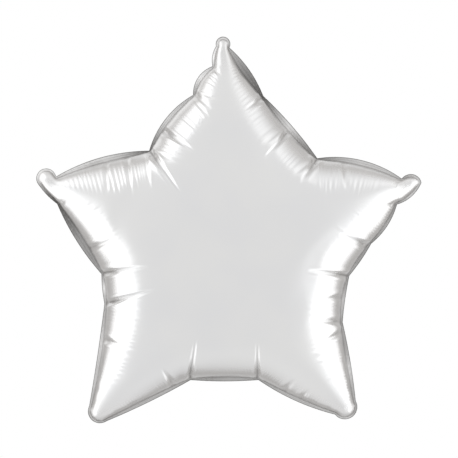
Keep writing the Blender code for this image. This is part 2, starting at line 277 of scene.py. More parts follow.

# %% [markdown]
# ## The scalloped edge
# Round the edge of a full balloon runs a row of scallops, because the welded edge has buckled. Each row
# of the table is one scallop of the hem's outer edge: where it starts and where its crown is, in metres
# from the star's middle, the hem's width at the crown, 1 if it starts at a pinch, the painted shade that
# darkens the hem at the start and at the crown, and how strongly the film is gathered behind it. They go
# clockwise from the left of the top point. Each is a circular arc through its start, its crown and the
# next one's start, so two neighbours meet in a sharp pinch.

# %% Table of scallops
Scallop = namedtuple("Scallop", "start_x start_z crown_x crown_z hem pinch start_dark crown_dark comb")
SCALLOPS = tuple(Scallop(*row) for row in (
    (-0.0150, 0.2150, -0.0153, 0.2270, 0.0025, 1, 0.30, 0.05, 0.30),
    (-0.0109, 0.2389, -0.0014, 0.2498, 0.0025, 0, 0.10, 0.05, 0.00),
    (0.0050, 0.2370, 0.0270, 0.2130, 0.0085, 1, 0.50, 0.78, 0.70),
    (0.0450, 0.1800, 0.0785, 0.1450, 0.0070, 1, 1.00, 0.15, 0.80),
    (0.1090, 0.1060, 0.1610, 0.1040, 0.0060, 1, 0.80, 0.35, 0.60),
    (0.2090, 0.0820, 0.2240, 0.0865, 0.0025, 1, 0.40, 0.10, 0.10),
    (0.2325, 0.0775, 0.2220, 0.0620, 0.0025, 0, 0.40, 0.30, 0.20),
    (0.2034, 0.0513, 0.1920, 0.0260, 0.0030, 1, 0.60, 0.50, 0.35),
    (0.1730, 0.0050, 0.1620, -0.0130, 0.0035, 1, 0.60, 0.40, 0.28),
    (0.1470, -0.0330, 0.1420, -0.0610, 0.0035, 1, 0.50, 0.20, 0.32),
    (0.1390, -0.0880, 0.1490, -0.1390, 0.0040, 1, 0.50, 0.35, 0.40),
    (0.1545, -0.1810, 0.1480, -0.2015, 0.0022, 1, 0.40, 0.20, 0.00),
    (0.1300, -0.1974, 0.0850, -0.1820, 0.0040, 1, 0.40, 0.35, 0.35),
    (0.0394, -0.1565, 0.0000, -0.1580, 0.0045, 1, 0.50, 0.40, 0.25),
    (-0.0410, -0.1565, -0.0890, -0.1820, 0.0040, 1, 0.50, 0.40, 0.35),
    (-0.1400, -0.2050, -0.1570, -0.2045, 0.0022, 1, 0.50, 0.25, 0.00),
    (-0.1610, -0.1870, -0.1510, -0.1250, 0.0040, 1, 0.40, 0.35, 0.45),
    (-0.1430, -0.0660, -0.1456, -0.0480, 0.0035, 1, 0.40, 0.15, 0.40),
    (-0.1465, -0.0310, -0.1760, 0.0080, 0.0080, 1, 0.60, 0.75, 0.50),
    (-0.1990, 0.0520, -0.2095, 0.0610, 0.0025, 1, 1.00, 0.95, 0.30),
    (-0.2205, 0.0740, -0.2215, 0.0892, 0.0025, 0, 0.50, 0.05, 0.00),
    (-0.2003, 0.0844, -0.1435, 0.1080, 0.0065, 1, 0.15, 0.15, 1.00),
    (-0.0900, 0.1150, -0.0710, 0.1525, 0.0050, 1, 0.90, 0.25, 1.10),
    (-0.0380, 0.1810, -0.0320, 0.2020, 0.0050, 1, 0.45, 0.08, 1.20),
))
print("scallops:", len(SCALLOPS))

# %% Outline of the hem and the seam
HEM_AT_PINCH = 0.0018
SAMPLES = 24


def circle_centre(a, b, c):
    """Centre of the circle through three points."""
    ab, ac = b - a, c - a
    cross = 2.0 * (ab[0] * ac[1] - ab[1] * ac[0])
    p, q = ab @ ab, ac @ ac
    return a + np.array((ac[1] * p - ab[1] * q, ab[0] * q - ac[0] * p)) / cross


def arc(start, end, centre, clockwise, count):
    """Points from start towards end round centre, without the end."""
    first = math.atan2(start[1] - centre[1], start[0] - centre[0])
    last = math.atan2(end[1] - centre[1], end[0] - centre[0])
    turn = (last - first) % (2 * math.pi)
    if clockwise:
        turn -= 2 * math.pi
    angles = first + turn * np.arange(count) / count
    radius = np.linalg.norm(start - centre)
    return centre + radius * np.stack((np.cos(angles), np.sin(angles)), axis=1)


def hem_outline():
    """The hem's outer edge, the hem's width there, and the place counted in scallops."""
    points, widths, places = [], [], []
    for i, scallop in enumerate(SCALLOPS):
        following = SCALLOPS[(i + 1) % len(SCALLOPS)]
        start = np.array((scallop.start_x, scallop.start_z))
        crown = np.array((scallop.crown_x, scallop.crown_z))
        end = np.array((following.start_x, following.start_z))
        centre = circle_centre(start, crown, end)
        first, second = crown - start, end - crown
        clockwise = first[0] * second[1] - first[1] * second[0] < 0
        points.append(arc(start, crown, centre, clockwise, SAMPLES // 2))
        points.append(arc(crown, end, centre, clockwise, SAMPLES // 2))
        for k in range(SAMPLES):
            near = 1 - math.sin(math.pi * k / SAMPLES)
            pinched = scallop.pinch if k < SAMPLES / 2 else following.pinch
            widths.append(scallop.hem + (HEM_AT_PINCH - scallop.hem) * near * pinched)
            places.append(i + k / SAMPLES)
    return np.concatenate(points), np.array(widths), np.array(places)


def inward(points):
    """The unit direction into the star at each point of a clockwise outline."""
    along = np.roll(points, -1, axis=0) - np.roll(points, 1, axis=0)
    along /= np.linalg.norm(along, axis=1)[:, None]
    return np.stack((along[:, 1], -along[:, 0]), axis=1)


hem_edge, hem_width, edge_place = hem_outline()
seam_edge = hem_edge + inward(hem_edge) * hem_width[:, None]
print("hem edge points:", len(hem_edge), "widest hem", round(hem_width.max() * 1000, 1), "mm")

# %% [markdown]
# ## The flat pattern
# Before it is filled, the balloon is a flat star with rounded points. It is larger than the full one: the
# gas brings the points in by a tenth and the notches by a sixth. The flat edge and the scalloped edge are
# cut into the same number of steps, corner to corner, so that each knows its place on the other.

# %% Flat pattern
STEP = 0.0054
POINT_RADIUS = 0.270
NOTCH_RADIUS = 0.187
POINT_ROUND = 0.012
NOTCH_ROUND = 0.008
ARC_STEPS = 16
# Corners of the star, as places counted in scallops: point, notch, point and so on, clockwise from the top.
CORNERS = (1.5, 3.75, 6.0, 9.25, 11.5, 13.5, 15.5, 17.5, 20.0, 22.0)
CORNER_COUNT = len(CORNERS)


def lengths_along(points):
    """Distance from the first point along a closed outline, with the full length at the end."""
    steps = np.linalg.norm(np.roll(points, -1, axis=0) - points, axis=1)
    return np.concatenate(([0.0], np.cumsum(steps)))


def sampled(points, distances):
    """Points of a closed outline at the given distances along it."""
    length = lengths_along(points)
    closed = np.vstack((points, points[:1]))
    at = np.mod(distances, length[-1])
    return np.stack([np.interp(at, length, column) for column in closed.T], axis=1)


def unit(vector):
    """The same direction, 1 long."""
    return vector / np.linalg.norm(vector)


def flat_star():
    """The flat star with rounded corners, and the distance along it to the middle of each corner."""
    angles = np.radians(360.0 / CORNER_COUNT * np.arange(CORNER_COUNT))
    radii = np.where(np.arange(CORNER_COUNT) % 2 == 0, POINT_RADIUS, NOTCH_RADIUS)
    sharp = np.stack((radii * np.sin(angles), radii * np.cos(angles)), axis=1)
    points = []
    for k in range(CORNER_COUNT):
        corner, before, after = sharp[k], sharp[k - 1], sharp[(k + 1) % CORNER_COUNT]
        rounding = POINT_ROUND if k % 2 == 0 else NOTCH_ROUND
        to_before, to_after = unit(before - corner), unit(after - corner)
        half = 0.5 * math.acos(to_before @ to_after)
        reach = rounding / math.tan(half)
        centre = corner + unit(to_before + to_after) * rounding / math.sin(half)
        start, end = corner + to_before * reach, corner + to_after * reach
        points.append(arc(start, end, centre, k % 2 == 0, ARC_STEPS))
        points.append(end[None])
    star = np.concatenate(points)
    return star, lengths_along(star)[ARC_STEPS // 2::ARC_STEPS + 1]


flat, flat_corners = flat_star()
print("flat edge", round(lengths_along(flat)[-1], 3), "m")

# %% Steps along both edges
seam_length = lengths_along(seam_edge)
seam_corners = np.array([seam_length[int(round(at * SAMPLES))] for at in CORNERS])
flat_runs = np.diff(np.append(flat_corners, flat_corners[0] + lengths_along(flat)[-1]))
seam_runs = np.diff(np.append(seam_corners, seam_corners[0] + seam_length[-1]))
flat_at, seam_at = [], []
for k in range(CORNER_COUNT):
    count = round(flat_runs[k] / STEP)
    shares = np.arange(count) / count
    flat_at.append(flat_corners[k] + flat_runs[k] * shares)
    seam_at.append(seam_corners[k] + seam_runs[k] * shares)
seam_at = np.concatenate(seam_at)
pinches = seam_length[[i * SAMPLES for i, row in enumerate(SCALLOPS) if row.pinch]]
for pinch in pinches:
    seam_at[np.abs(np.mod(seam_at, seam_length[-1]) - pinch).argmin()] = pinch
flat_rim = sampled(flat, np.concatenate(flat_at))
seam_rim = sampled(seam_edge, seam_at)
unrolled = np.append(edge_place, len(SCALLOPS))
rim_place = np.interp(np.mod(seam_at, seam_length[-1]), seam_length, unrolled)
print("rim steps:", len(flat_rim), "seam", round(seam_length[-1], 3), "m")

# %% [markdown]
# ## Two sheets of film
# Cloth behaves best on even triangles that favour no direction, because a square grid creases along its
# rows. So the sheet is a lattice of even triangles, fitted to the rim by Delaunay triangulation. The back
# sheet is a copy that shares the rim's vertices, which is the weld.

# %% Where points lie
def inside(points, outline):
    """Which points lie inside a closed outline."""
    x, y = points.T
    found = np.zeros(len(points), bool)
    for (x0, y0), (x1, y1) in zip(outline, np.roll(outline, -1, axis=0)):
        crosses = (y0 > y) != (y1 > y)
        found ^= crosses & (x < (x1 - x0) * (y - y0) / (y1 - y0 + 1e-30) + x0)
    return found


def nearest(points, outline):
    """Distance to the nearest point of a dense outline, and that point's index."""
    distance, index = [], []
    for part in np.array_split(points, max(1, len(points) // 2000)):
        gaps = np.linalg.norm(part[:, None, :] - outline[None], axis=2)
        index.append(gaps.argmin(axis=1))
        distance.append(gaps.min(axis=1))
    return np.concatenate(distance), np.concatenate(index)


def on_seam(points):
    """Distance to the seam, distance along it, and the nearest place on it."""
    _, index = nearest(points, seam_edge)
    best = np.full(len(points), np.inf)
    along = np.zeros(len(points))
    place = np.zeros_like(points)
    for back_step in (1, 0):
        first = (index - back_step) % len(seam_edge)
        start, end = seam_edge[first], seam_edge[(first + 1) % len(seam_edge)]
        side = end - start
        length = np.linalg.norm(side, axis=1)
        share = np.clip(((points - start) * side).sum(axis=1) / length ** 2, 0, 1)
        foot = start + share[:, None] * side
        gap = np.linalg.norm(points - foot, axis=1)
        closer = gap < best
        best[closer] = gap[closer]
        along[closer] = (seam_length[first] + share * length)[closer]
        place[closer] = foot[closer]
    return best, along, place


print("seam points:", len(seam_edge))

# %% Flat sheets
LATTICE_REACH = 0.3
ROW_SPACING = 0.866
RIM_CLEARANCE = 0.6

rows = np.arange(-int(LATTICE_REACH / STEP), int(LATTICE_REACH / STEP) + 1)
across, upright = np.meshgrid(rows, rows)
lattice_x = (across + 0.5 * (upright % 2)) * STEP
lattice_z = upright * STEP * ROW_SPACING
lattice = np.stack((lattice_x.ravel(), lattice_z.ravel()), axis=1)
lattice = lattice[inside(lattice, flat_rim)]
lattice = lattice[nearest(lattice, flat_rim)[0] > RIM_CLEARANCE * STEP]
rim_count = len(flat_rim)
rim_edges = [(i, (i + 1) % rim_count) for i in range(rim_count)]
made = delaunay_2d_cdt([Vector(p) for p in np.vstack((flat_rim, lattice))], rim_edges, [], 1, 1e-7)
sheet = np.array([tuple(v) for v in made[0]])
triangles = np.array([tuple(f) for f in made[2]])
a, b, c = (sheet[triangles[:, i]] for i in range(3))
turned = (b - a)[:, 0] * (c - a)[:, 1] - (b - a)[:, 1] * (c - a)[:, 0] < 0
triangles[turned] = triangles[turned][:, ::-1]
sheet_count = len(sheet)
back_of = np.concatenate((np.arange(rim_count), np.arange(sheet_count, 2 * sheet_count - rim_count)))
print("vertices a sheet:", sheet_count, "triangles a sheet:", len(triangles))

# %% [markdown]
# ## Filling it with gas
# Blender's Cloth has a pressure force. The film hardly stretches, so its tension is high, and gravity is
# off, because the gas carries the film. Only the pinches are held, softly, and carried to their places on
# the scalloped edge. The rest of the edge finds its own way, and the puckers with it.

# %% Cloth simulation
FRAMES = 34
TENSION = 40.0
CLOTH_SETTINGS = {
    "quality": 5,
    "mass": 0.001,
    "tension_stiffness": TENSION,
    "compression_stiffness": TENSION,
    "shear_stiffness": TENSION,
    "bending_model": "ANGULAR",
    "bending_stiffness": 0.05,
    "bending_damping": 0.5,
    "air_damping": 2,
    "use_pressure": True,
    "uniform_pressure_force": 5.0,
    "vertex_group_mass": "pinches",
    "pin_stiffness": 2.0,
}
PIN_STRENGTH = 0.6
PIN_REACH = 0.08
SHEET_LIFT = 0.0005


def flat_film():
    """Both sheets as one mesh, with a shape in which the rim has moved to the seam, and its pins."""
    lifted = np.where(np.arange(sheet_count) < rim_count, 0.0, SHEET_LIFT)
    front = np.stack((sheet[:, 0], -lifted, sheet[:, 1]), axis=1)
    back = np.stack((sheet[:, 0], lifted, sheet[:, 1]), axis=1)[rim_count:]
    mesh = bpy.data.meshes.new("film")
    faces = np.vstack((triangles, back_of[triangles][:, ::-1]))
    mesh.from_pydata(np.vstack((front, back)).tolist(), [], faces.tolist())
    film = bpy.data.objects.new("film", mesh)
    bpy.context.scene.collection.objects.link(film)

    film.shape_key_add(name="flat")
    full = film.shape_key_add(name="full")
    for i in range(rim_count):
        full.data[i].co = (seam_rim[i][0], 0.0, seam_rim[i][1])
    full.value = 0.0
    full.keyframe_insert("value", frame=1)
    full.value = 1.0
    full.keyframe_insert("value", frame=FRAMES // 2)
    pins = film.vertex_groups.new(name="pinches")
    from_pinch = np.abs(rim_place - np.round(rim_place))
    for i in range(rim_count):
        pins.add([i], float(PIN_STRENGTH * math.exp(-((from_pinch[i] / PIN_REACH) ** 2))), "REPLACE")
    return film


def filled_sheets():
    """Front and back sheets after the gas has filled them."""
    film = flat_film()
    cloth = film.modifiers.new("gas", "CLOTH")
    for name, value in CLOTH_SETTINGS.items():
        setattr(cloth.settings, name, value)
    cloth.settings.effector_weights.gravity = 0
    cloth.collision_settings.use_collision = False
    cloth.point_cache.frame_start = 1
    cloth.point_cache.frame_end = FRAMES
    for frame_number in range(1, FRAMES + 1):
        bpy.context.scene.frame_set(frame_number)
    settled = film.evaluated_get(bpy.context.evaluated_depsgraph_get())
    points = np.array([v.co for v in settled.data.vertices])
    bpy.data.objects.remove(film)
    return points[:sheet_count].copy(), points[back_of].copy()


front_film, back_film = filled_sheets()
print("filled box", np.round(front_film.min(axis=0), 3), np.round(back_film.max(axis=0), 3))

# %% [markdown]
# ## Seating the film on the seam
# The simulated edge is close to the real one. The difference at the rim is split in two. Its slow part is
# spread over the whole sheet like heat in a plate, so nothing kinks. Its quick part, the scallops, gets
# fewer rounds, and fades out a finger's width from the edge, as real puckers do.

# %% Smoothing over the sheet
def neighbour_table():
    """Each vertex's neighbours, padded with the vertex itself, and a mask of the real ones."""
    around = [set() for _ in range(sheet_count)]
    for a, b, c in triangles:
        around[a] |= {b, c}
        around[b] |= {a, c}
        around[c] |= {a, b}
    most = max(len(s) for s in around)
    table = np.array([sorted(s) + [i] * (most - len(s)) for i, s in enumerate(around)])
    real = np.array([[1.0] * len(s) + [0.0] * (most - len(s)) for s in around])
    return table, real


neighbours, real = neighbour_table()
neighbour_count = real.sum(axis=1)[:, None]


def mean_of_neighbours(values):
    """The mean of each vertex's neighbours, for values in columns."""
    return (values[neighbours] * real[:, :, None]).sum(axis=1) / neighbour_count


def spread(at_rim, rounds):
    """Carries values given at the rim smoothly over the sheet."""
    values = np.zeros((sheet_count, at_rim.shape[1]))
    values[:rim_count] = at_rim
    for _ in range(rounds):
        values[rim_count:] = mean_of_neighbours(values)[rim_count:]
    return values


def smoothed_round(values, reach):
    """A closed row of values, blurred along the rim over a distance in metres."""
    steps = np.arange(-int(3 * reach / STEP), int(3 * reach / STEP) + 1)
    weights = np.exp(-((steps * STEP / reach) ** 2) / 2)
    weights /= weights.sum()
    return sum(w * np.roll(values, k, axis=0) for k, w in zip(steps, weights))


def relaxed(values, rounds):
    """Values with small roughness smoothed out, except at the rim."""
    smooth = values.copy()
    for _ in range(rounds):
        smooth[rim_count:] += 0.5 * (mean_of_neighbours(smooth) - smooth)[rim_count:]
    return smooth


print("most neighbours of a vertex:", neighbours.shape[1])

# %% [markdown]
# The simulation is too coarse to make the arms as round as gas does. So most of the depth comes from a
# soap film over the star, blown up by even pressure, with a power below one that fills the arms. It is
# solved on the same triangles, with the cotangents of their angles as weights. The solids use the same
# formula.

# %% Soap film
COTANGENT_RANGE = (0.02, 8.0)


def soap_film(points, rounds):
    """Height of a soap film over the star, blown up by even pressure, with 1 at its top."""
    weights = np.zeros(neighbours.shape)
    areas = np.zeros(sheet_count)
    column = [{b: k for k, b in enumerate(row)} for row in neighbours.tolist()]
    for i in range(3):
        a, b, c = triangles[:, i], triangles[:, (i + 1) % 3], triangles[:, (i + 2) % 3]
        u, v = points[a] - points[c], points[b] - points[c]
        cross = np.maximum(np.abs(u[:, 0] * v[:, 1] - u[:, 1] * v[:, 0]), 1e-8)
        cotangent = np.clip((u * v).sum(axis=1) / cross, *COTANGENT_RANGE)
        np.add.at(areas, a, cross / 6)
        for first, second in ((a, b), (b, a)):
            slots = [column[p][q] for p, q in zip(first.tolist(), second.tolist())]
            np.add.at(weights, (first, slots), 0.5 * cotangent)
    total = weights.sum(axis=1)
    height = np.zeros(sheet_count)
    for _ in range(rounds):
        raised = ((height[neighbours] * weights).sum(axis=1) + areas) / total
        height[rim_count:] = raised[rim_count:]
    return height / height.max()


print("angles to weigh:", 3 * len(triangles))

# %% Fit to the seam
HALF_DEPTH = 0.0785
WAVE = 0.0016
ROUND_SHARE = 0.82
ROUNDNESS = 0.44
FIRST_ROUNDS = 6
UNFOLDING_ROUNDS = 60
SOAP_ROUNDS = 3000
SLOW_REACH = 0.020
SLOW_ROUNDS = 600
QUICK_ROUNDS = 60


def seated(film):
    """The film with its rim carried to the seam and its arms filled."""
    fitted = relaxed(film, FIRST_ROUNDS)
    side = np.sign(film[:, 1].sum())
    fitted[:, 1] *= (1 - ROUND_SHARE) * HALF_DEPTH / np.abs(fitted[:, 1]).max()
    fitted += to_seam(fitted)
    fitted[:, [0, 2]] = relaxed(fitted[:, [0, 2]], UNFOLDING_ROUNDS)
    bulge = soap_film(fitted[:, [0, 2]], SOAP_ROUNDS) ** ROUNDNESS
    fitted[:, 1] += side * ROUND_SHARE * HALF_DEPTH * bulge
    return fitted


def wave_at(place):
    """How far the seam stands behind its plane, at a place counted in scallops."""
    swing = np.where(place.astype(int) % 2 == 0, 1.0, -1.0)
    return WAVE * swing * np.sin(np.pi * (place % 1)) ** 1.5


goal = np.stack((seam_rim[:, 0], wave_at(rim_place), seam_rim[:, 1]), axis=1)


def to_seam(fitted):
    """The shift that carries the rim to the seam."""
    difference = goal - fitted[:rim_count]
    slow = smoothed_round(difference, SLOW_REACH)
    return spread(slow, SLOW_ROUNDS) + spread(difference - slow, QUICK_ROUNDS)


front_film = seated(front_film)
back_film = seated(back_film)
depths = np.array((-front_film[:, 1].min(), back_film[:, 1].max())) * 1000
print("depth front and back", np.round(depths, 1), "mm")

# %% [markdown]
# ## Finer film
# Creases need finer triangles than the simulation. Loop's scheme cuts each triangle into four and rounds
# the surface as it goes. Here it leaves the rim's points where they are, so the pinches stay sharp, which
# a subdivision modifier would round off.

# %% Subdivide
def summed(index, rows, count):
    """The sum of the rows that go to each index."""
    columns = [np.bincount(index, weights=column, minlength=count) for column in rows.T]
    return np.stack(columns, axis=1)


def far_ends(edges, rows):
    """For each vertex, the sum of the rows at the far ends of its edges."""
    total = summed(edges[:, 0], rows[edges[:, 1]], len(rows))
    return total + summed(edges[:, 1], rows[edges[:, 0]], len(rows))


def finer(points, faces):
    """One round of Loop subdivision, with the boundary held still."""
    sides = np.sort(np.concatenate((faces[:, [0, 1]], faces[:, [1, 2]], faces[:, [2, 0]])), axis=1)
    opposite = np.concatenate((faces[:, 2], faces[:, 0], faces[:, 1]))
    edges, which = np.unique(sides, axis=0, return_inverse=True)
    which = which.ravel()
    shared = np.bincount(which, minlength=len(edges))
    far = summed(which, points[opposite], len(edges))
    ends = points[edges[:, 0]] + points[edges[:, 1]]
    middles = np.where(shared[:, None] == 2, 0.375 * ends + 0.125 * far, 0.5 * ends)
    degree = np.bincount(edges.ravel(), minlength=len(points))
    total = far_ends(edges, points)
    held = np.zeros(len(points), bool)
    held[edges[shared == 1].ravel()] = True
    pull = (0.625 - (0.375 + 0.25 * np.cos(2 * np.pi / degree)) ** 2)[:, None]
    moved = np.where(held[:, None], points, (1 - pull) * points + pull * total / degree[:, None])
    m = (which + len(points)).reshape(3, -1).T
    corners = np.concatenate((
        np.stack((faces[:, 0], m[:, 0], m[:, 2]), axis=1),
        np.stack((m[:, 0], faces[:, 1], m[:, 1]), axis=1),
        np.stack((m[:, 2], m[:, 1], faces[:, 2]), axis=1),
        m,
    ))
    return np.vstack((moved, middles)), corners


print("triangles after a round:", 4 * len(triangles))

# %% Pieces of film
SHARP_ANGLE = math.radians(40)
SIDED_ROUNDS = 12
SIDED_RANGE = (0.70, 0.93)


def film_object(name, points, faces):
    """An object with one mesh, from points round the star's middle."""
    mesh = bpy.data.meshes.new(name)
    placed = points + np.array(STAR_CENTRE)
    mesh.from_pydata(placed.tolist(), [], faces.tolist())
    piece = bpy.data.objects.new(name, mesh)
    bpy.context.scene.collection.objects.link(piece)
    return piece


def make_real(piece):
    """Applies a piece's modifiers to its mesh."""
    bpy.context.view_layer.update()
    finished = piece.evaluated_get(bpy.context.evaluated_depsgraph_get())
    mesh = bpy.data.meshes.new_from_object(finished)
    piece.modifiers.clear()
    piece.data = mesh
    mesh.name = piece.name


def smooth_but_for_edges(piece):
    """Smooth shading that stops at the sharp edges of a thin strip."""
    piece.data.shade_smooth()
    piece.data.set_sharp_from_angle(angle=SHARP_ANGLE)


def grid_faces(rows, columns, closed):
    """The faces between the points of a grid, which may run round in a ring."""
    faces = []
    for i in range(rows if closed else rows - 1):
        for k in range(columns - 1):
            a = i * columns + k
            b = (i + 1) % rows * columns + k
            faces.append((a, a + 1, b + 1, b))
    return np.array(faces)


def thicken(piece, thickness):
    """Gives a strip an even thickness, half of it on each side."""
    thick = piece.modifiers.new("thick", "SOLIDIFY")
    thick.thickness = thickness
    thick.offset = 0.0
    make_real(piece)
    smooth_but_for_edges(piece)


def keep_values(piece, name, values):
    """Keeps a number at each vertex, for a material to read."""
    layer = piece.data.attributes.new(name, "FLOAT", "POINT")
    layer.data.foreach_set("value", values.astype(np.float32))


def dress(piece, look, slot, *nodes):
    piece.data.materials.clear()
    piece.data.materials.append(look)
    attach(piece, "root")
    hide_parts(*nodes)


def one_sided(film):
    """1 where one side of the edge is clearly nearest, and 0 on the ridge between two sides."""
    _, _, foot = on_seam(film[:, [0, 2]])
    away = film[:, [0, 2]] - foot
    away /= np.maximum(np.linalg.norm(away, axis=1), 1e-6)[:, None]
    agreed = np.linalg.norm(relaxed(away, SIDED_ROUNDS), axis=1)
    agreed[:rim_count] = 1.0
    return np.interp(agreed, SIDED_RANGE, (0.0, 1.0))


def fine_film(name, film, faces):
    """A film object after two subdivisions, its values of one_sided, and which points are rim."""
    at_rim = np.arange(sheet_count) < rim_count
    points, faces = finer(*finer(np.column_stack((film, one_sided(film), at_rim)), faces))
    return film_object(name, points[:, :3], faces), points[:, 3], points[:, 4] > 0.999


front, front_sided, front_rim = fine_film("film_front", front_film, triangles)
back, back_sided, back_rim = fine_film("film_back", back_film, triangles[:, ::-1])
print("faces a sheet:", len(front.data.polygons))

# %% [markdown]
# ## Creases and combs
# The deep creases of the front are read from the picture, one row each: where it starts at the edge,
# where it dies out, its depth and its width. Most start at a pinch, where the edge has no other way to
# lose length. Between them the film is gathered like cloth on a thread, which shows as a comb of fine,
# short ripples.

# %% Table of creases
PIXEL = 0.001184
MIDDLE_X, MIDDLE_Y = 225.2, 247.8
# start_x, start_y, end_x, end_y in the picture's pixels, depth and width in millimetres
FRONT_CREASES = (
    (211, 67, 222, 76, 1.6, 2.5),
    (193, 94, 212, 110, 2.6, 3.0),
    (191, 98, 210, 118, 1.2, 2.2),
    (167, 133, 197, 154, 3.3, 2.5),
    (263, 97, 246, 111, 2.8, 2.5),
    (287, 133, 264, 160, 3.2, 2.5),
    (318, 157, 300, 184, 4.2, 2.7),
    (318, 157, 289, 178, 1.6, 2.4),
    (344, 160, 346, 190, 2.0, 2.6),
    (401, 178, 392, 186, 1.5, 2.5),
    (397, 204, 384, 206, 2.2, 3.0),
    (364, 245, 339, 234, 2.8, 3.0),
    (349, 276, 308, 270, 4.0, 2.4),
    (339, 297, 322, 299, 2.0, 2.4),
    (338, 321, 309, 319, 2.8, 2.8),
    (338, 334, 319, 343, 2.0, 2.4),
    (285, 389, 295, 378, 1.6, 2.6),
    (302, 396, 311, 388, 1.2, 2.4),
    (257, 381, 257, 338, 4.4, 2.3),
    (190, 381, 196, 336, 4.4, 2.3),
    (172, 383, 161, 364, 2.4, 2.6),
    (107, 340, 127, 347, 2.4, 2.6),
    (109, 302, 156, 289, 4.0, 2.5),
    (103, 273, 149, 266, 4.0, 2.5),
    (91, 248, 118, 238, 2.6, 2.8),
    (57, 206, 68, 198, 2.2, 2.8),
    (106, 163, 108, 194, 1.8, 2.2),
    (127, 159, 133, 200, 2.0, 2.4),
    (150, 151, 183, 197, 4.2, 2.7),
)
print("front creases:", len(FRONT_CREASES))

# %% Shape of a crease
RIDGE_HEIGHT = 0.40
RIDGE_PLACE = 1.9
RIDGE_WIDTH = 0.9
CORE_WIDTH = 0.0010
CORE_FROM_DEPTH = 0.0018
CORE_FULL_AFTER = 0.0022


def beside(flat_points, start, end, least):
    """How far along a line each point lies, as a share of it, and the distance from there."""
    line = end - start
    offset = flat_points - start
    share = np.clip(offset @ line / np.linalg.norm(line) ** 2, least, 1.0)
    return share, np.linalg.norm(offset - share[:, None] * line, axis=1)


def crease(flat_points, start, end, depth, width):
    """A valley with a low ridge on each side, deepest at its start."""
    share, away_from = beside(flat_points, start, end, -0.15)
    narrow = width * (1.15 - 0.45 * np.clip(share, 0, 1))
    valley = -np.exp(-((away_from / narrow) ** 1.3))
    ridge = RIDGE_HEIGHT * np.exp(-(((away_from - RIDGE_PLACE * narrow) / (RIDGE_WIDTH * narrow)) ** 2))
    fade = np.clip(1 - share, 0, 1) ** 0.8
    return depth * fade * (valley + ridge)


def fold_shade_line(flat_points, start, end, depth):
    """Painted shade along a deep crease's bottom: 1 on a thin line, fading to 0 at its end and beside it.
    """
    share, away_from = beside(flat_points, start, end, 0.0)
    strength = np.clip((depth - CORE_FROM_DEPTH) / CORE_FULL_AFTER, 0, 1) * np.clip(0.9 - share, 0, 1)
    return strength * np.exp(-((away_from / CORE_WIDTH) ** 2))


print("ridges stand", RIDGE_PLACE, "widths from the crease")

# %% Where the creases lie
BACK_LEAN = (-0.5, 0.5)
BACK_REACH = (0.022, 0.050)
BACK_DEPTH = (0.0015, 0.0036)
BACK_WIDTH = (0.0024, 0.0032)
random = np.random.default_rng(seed=20)


def ripples(distances, total, shortest, longest, count):
    """Smooth noise along a closed line, made of seeded waves."""
    values = np.zeros(len(distances))
    for length in random.uniform(shortest, longest, count):
        turns = round(total / length)
        values += np.sin(2 * np.pi * turns * distances / total + random.uniform(0, 2 * np.pi))
    return values / math.sqrt(count / 2)


def evened(piece, values, rounds):
    """Values at a piece's vertices, each drawn halfway to the mean of its neighbours."""
    edges = np.array([e.vertices for e in piece.data.edges])
    degree = np.bincount(edges.ravel())
    for _ in range(rounds):
        values = 0.5 * (values + far_ends(edges, values[:, None])[:, 0] / degree)
    return values


def back_creases():
    """Seeded creases for the back, one or two at each pinch."""
    found = []
    into = inward(seam_edge)
    for i, scallop in enumerate(SCALLOPS):
        if scallop.pinch:
            at = seam_edge[i * SAMPLES]
            for _ in range(random.integers(1, 3)):
                lean = random.uniform(*BACK_LEAN)
                turn = np.array(((math.cos(lean), -math.sin(lean)), (math.sin(lean), math.cos(lean))))
                reach = random.uniform(*BACK_REACH)
                depth, width = random.uniform(*BACK_DEPTH), random.uniform(*BACK_WIDTH)
                found.append((at, at + turn @ into[i * SAMPLES] * reach, depth, width))
    return found


def front_creases():
    """The creases read from the picture, in metres from the star's middle."""
    found = []
    for start_x, start_y, end_x, end_y, depth, width in FRONT_CREASES:
        start = np.array((start_x - MIDDLE_X, MIDDLE_Y - start_y)) * PIXEL
        end = np.array((end_x - MIDDLE_X, MIDDLE_Y - end_y)) * PIXEL
        found.append((start, end, depth * 0.001, width * 0.001))
    return found


print("pinches:", len(pinches))

# %% Press them in
COMB_HEIGHT = 0.00044
COMB_REACH = 0.041
COMB_FADE = 0.009
TOOTH = 0.0054


